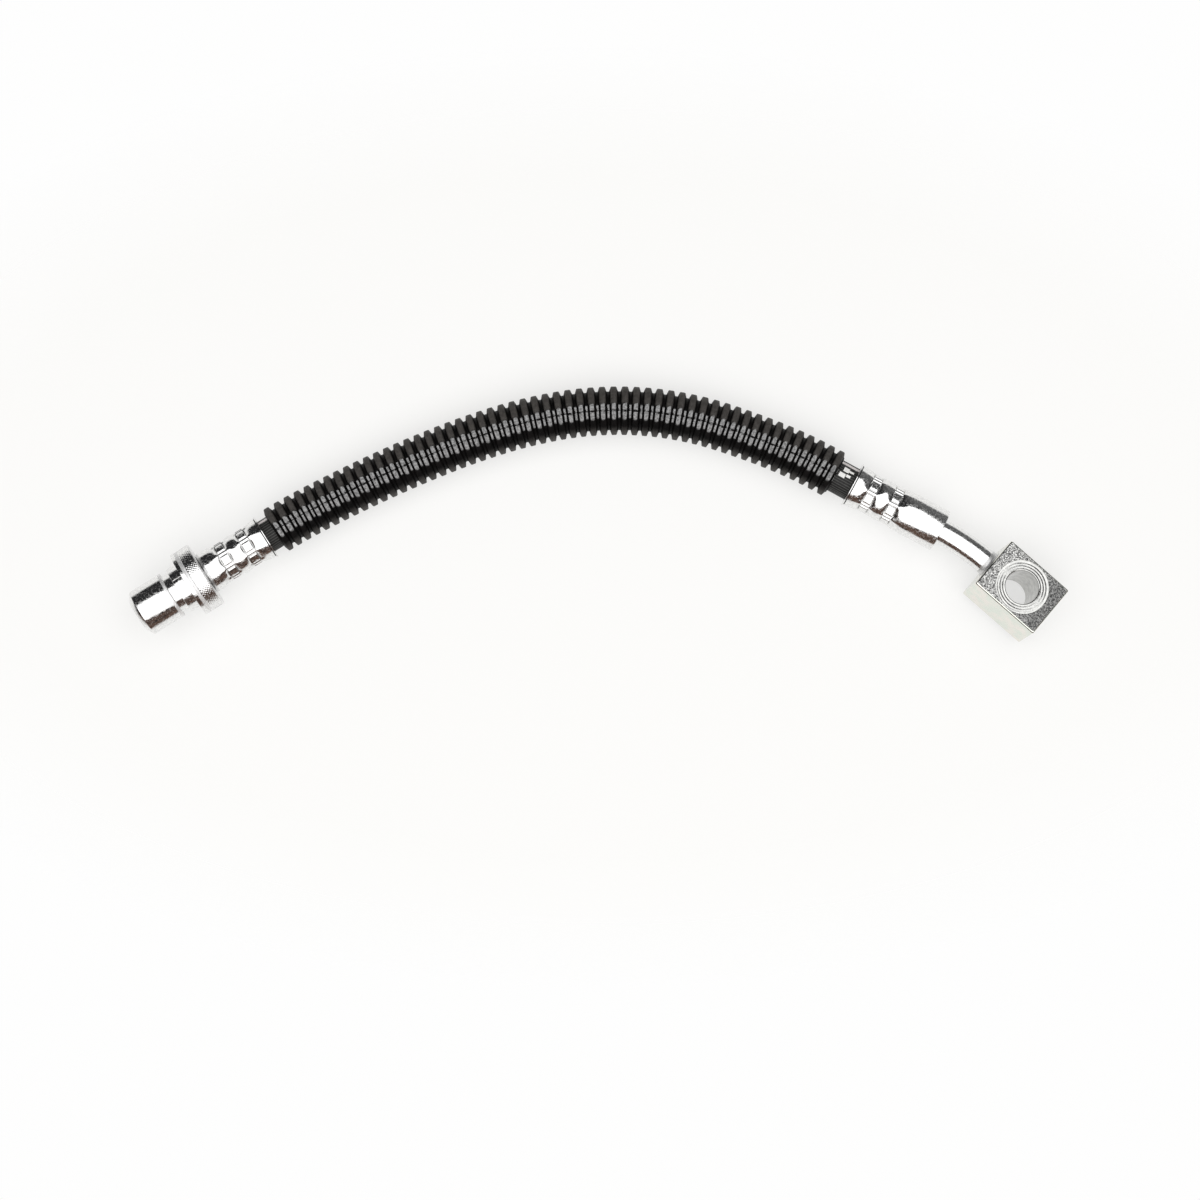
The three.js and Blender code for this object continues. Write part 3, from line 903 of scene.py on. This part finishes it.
# Grainy on the top, with a smoother turned ring round the hole and plain pale sides
def make_zinc():
    material = bpy.data.materials.new("zinc_steel")
    n = Nodes(material)
    uv = n.split("UV")
    on_ring = n.ramp(uv["X"], grey(*RING_STOPS))
    on_side = n.ramp(uv["X"], grey(*SIDE_STOPS))
    speckle = n.noise(scale=2300, detail=3, roughness=0.6)
    speck = n.ramp(speckle, [(0.42, (0.10, 0.10, 0.10)), (0.60, (0.85, 0.85, 0.83))])
    turned = n.ramp(n.noise(scale=700, detail=3), [(0.3, (0.46, 0.46, 0.45)), (0.7, (0.64, 0.64, 0.62))])
    pale = n.ramp(n.noise(scale=260, detail=3), [(0.38, (0.73, 0.77, 0.70)), (0.62, (0.82, 0.79, 0.73))])
    # Painted shade: the speckled top darkens towards the far corners
    shaded = n.mix(n.ramp(uv["Y"], grey(*CORNER_SHADE)), speck, plain(0.05))
    colour = n.mix(on_side, n.mix(on_ring, shaded, turned), pale)
    smooth = n.math("MAXIMUM", on_ring, on_side)
    n.shade(Metallic=1.0, Base_Color=colour, Roughness=n.ramp(smooth, grey((0, 0.36), (1, 0.17))))
    grain = n.math("MULTIPLY", n.noise(scale=2200, detail=4), n.ramp(smooth, grey((0, 1), (1, 0.15))))
    n.bump(grain, strength=0.5, depth=0.3)
    return material


# Quarter arcs at the corners, joined by straight sides, counted from local x towards y
def rounded_rectangle(half_x, half_y, corner, per_side=24, per_corner=5):
    arcs = []
    for quarter, (sign_x, sign_y) in enumerate([(1, 1), (-1, 1), (-1, -1), (1, -1)]):
        swing = math.pi / 2 * (quarter + np.linspace(0, 1, per_corner))
        x = sign_x * (half_x - corner) + corner * np.cos(swing)
        y = sign_y * (half_y - corner) + corner * np.sin(swing)
        arcs.append(np.column_stack([x, y]))
    share = np.linspace(0, 1, per_side + 1)[1:-1, None]
    points = []
    for arc, following in zip(arcs, arcs[1:] + arcs[:1]):
        points += [arc, arc[-1] * (1 - share) + following[0] * share]
    return np.vstack(points)


def make_block():
    half_x, half_y, half = BLOCK_WIDTH / 2, BLOCK_LENGTH / 2, BLOCK_THICKNESS / 2
    seat = half - SPOT_FACE_DEPTH
    border = rounded_rectangle(half_x, half_y, CORNER_R)
    direction = unit(border)
    from_axis = np.linalg.norm(border, axis=1) / BLOCK_UV_SPAN
    same = np.ones(len(border))

    # Each ring is its points and its UV x
    def circle(radius, height):
        points = np.column_stack([direction * radius, same * height])
        return points, same * radius / BLOCK_UV_SPAN

    def edge(inset, height, u):
        shrunk = border * np.array([(half_x - inset) / half_x, (half_y - inset) / half_y])
        return np.column_stack([shrunk, same * height]), same * u

    def half_of(sign):
        rings = [circle(BOLT_HOLE_R + wider, sign * (seat - deeper)) for wider, deeper in HOLE_RIM]
        for line, radius in enumerate(np.arange(RING_START, RINGS_END, RING_STEP)):
            rings.append(circle(radius, sign * (seat - RING_DEPTH * (line % 2))))
        inset, drop = BLOCK_EDGE_MIDDLE
        return rings + [
            circle(SPOT_FACE_R - SPOT_FACE_LEAN, sign * seat),
            circle(SPOT_FACE_R + SPOT_FACE_LEAN, sign * half),
            edge(BLOCK_EDGE + BLOCK_BORDER, sign * half, from_axis),
            edge(BLOCK_EDGE, sign * half, SIDE_U),
            edge(inset, sign * (half - drop), SIDE_U),
            edge(0, sign * (half - BLOCK_EDGE), SIDE_U),
        ]

    rings = half_of(1) + half_of(-1)[::-1]
    points = np.vstack([ring for ring, _ in rings])
    points[:, :2] += (BLOCK_ASIDE, half_y)
    turns = np.tile(np.linspace(0, 1, len(border), endpoint=False), len(rings))
    uv = np.stack([np.concatenate([u for _, u in rings]), turns], axis=-1)
    faces = ring_faces(len(rings), len(border))
    piece = make_piece("bolt_block", block_frame.place(points), faces, uv, zinc, 14)
    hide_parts("banjo_block")


zinc = make_zinc()
make_block()

# The outlet's stem stays the CAD solid, hidden in the shell
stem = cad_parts["outlet_stem"]
stem.data.materials.clear()
stem.data.materials.append(zinc)

# Stage: a pale floor that fades out into a white backdrop round the part, in metres
FLOOR_HALF = 0.6
FLOOR_REACH = (0.225, 0.125)
FLOOR_FADE = [(0.42, 0), (0.58, 1)]
FLOOR_GLOW = 0.62


# The floor glows for the camera and for shiny surfaces, and only catches light otherwise
def make_floor_material():
    material = bpy.data.materials.new("floor")
    n = Nodes(material)
    n.tree.nodes.clear()
    diffuse = n.add("BsdfDiffuse", Color=(0.93, 0.93, 0.92)).outputs[0]
    glow = n.add("Emission", Color=(0.985, 0.983, 0.975)).outputs[0]
    path = n.add("LightPath").outputs
    seen = n.math("MAXIMUM", path["Is Camera Ray"], path["Is Glossy Ray"])
    pale = n.blend(n.math("MULTIPLY", seen, FLOOR_GLOW), diffuse, glow)
    spot = n.add("TexCoord").outputs["Object"]
    spread = n.add("Mapping", Vector=spot, Scale=(1 / FLOOR_REACH[0], 1 / FLOOR_REACH[1], 0))
    length = n.add("VectorMath", "LENGTH", Vector=spread.outputs["Vector"])
    fade = n.ramp(n.math("MULTIPLY", length.outputs["Value"], 0.5), grey(*FLOOR_FADE))
    n.add("OutputMaterial", Surface=n.blend(fade, pale, n.add("BsdfTransparent").outputs[0]))
    return material


def make_floor():
    corners = [(x * FLOOR_HALF, y * FLOOR_HALF, 0) for x, y in ((-1, -1), (1, -1), (1, 1), (-1, 1))]
    mesh = bpy.data.meshes.new("floor")
    mesh.from_pydata(corners, [], [(0, 1, 2, 3)])
    mesh.materials.append(make_floor_material())
    floor = bpy.data.objects.new("floor", mesh)
    floor.location.z = cad_low[2]
    bpy.context.scene.collection.objects.link(floor)


make_floor()

# One broad soft light overhead
lamp = bpy.data.objects.new("softbox", bpy.data.lights.new("softbox", "AREA"))
lamp.data.shape = "RECTANGLE"
lamp.data.size = 2.40
lamp.data.size_y = 2.10
lamp.data.energy = 26.5
lamp.location = (0.0, -0.28, 1.2)
lamp.rotation_euler = (0, 0, math.radians(13))
lamp.visible_camera = False
bpy.context.scene.collection.objects.link(lamp)

# What shiny surfaces see beside the lamp: brown patches on the near side, mottled grey towards the far right
DIM = (0.026, 0.026, 0.027)
BROWN = (0.150, 0.095, 0.072)
NEAR_SIDE = -0.25
BROWN_STOPS = [(0.55, DIM), (0.80, BROWN)]
MOTTLED = 0.9
WALL_STOPS = [(0.58, 0), (0.92, 1)]


# White to the camera, the dim surroundings to shiny surfaces and a faint fill to the rest
def make_world():
    world = bpy.data.worlds.new("studio")
    n = Nodes(world)
    n.tree.nodes.clear()
    direction = n.split("Generated")
    patches = n.noise(scale=7.0, detail=2.0, space="Generated")
    brown = n.ramp(n.math("MULTIPLY_ADD", direction["Y"], NEAR_SIDE, patches), BROWN_STOPS)
    far_right = n.math("ADD", direction["X"], direction["Y"])
    mottled = n.math("MULTIPLY_ADD", patches, MOTTLED, far_right)
    on_wall = n.ramp(n.math("MULTIPLY", mottled, 0.5), grey(*WALL_STOPS))
    surroundings = n.mix(on_wall, brown, plain(0.14))
    path = n.add("LightPath").outputs
    fill, dim, white = (
        n.add("Background", Color=colour).outputs[0]
        for colour in ((0.19, 0.18, 0.165), surroundings, (0.991, 0.991, 0.989))
    )
    unseen = n.blend(path["Is Glossy Ray"], fill, dim)
    n.add("OutputWorld", Surface=n.blend(path["Is Camera Ray"], unseen, white))
    return world


bpy.context.scene.world = make_world()

bpy.context.scene.view_settings.view_transform = "Standard"
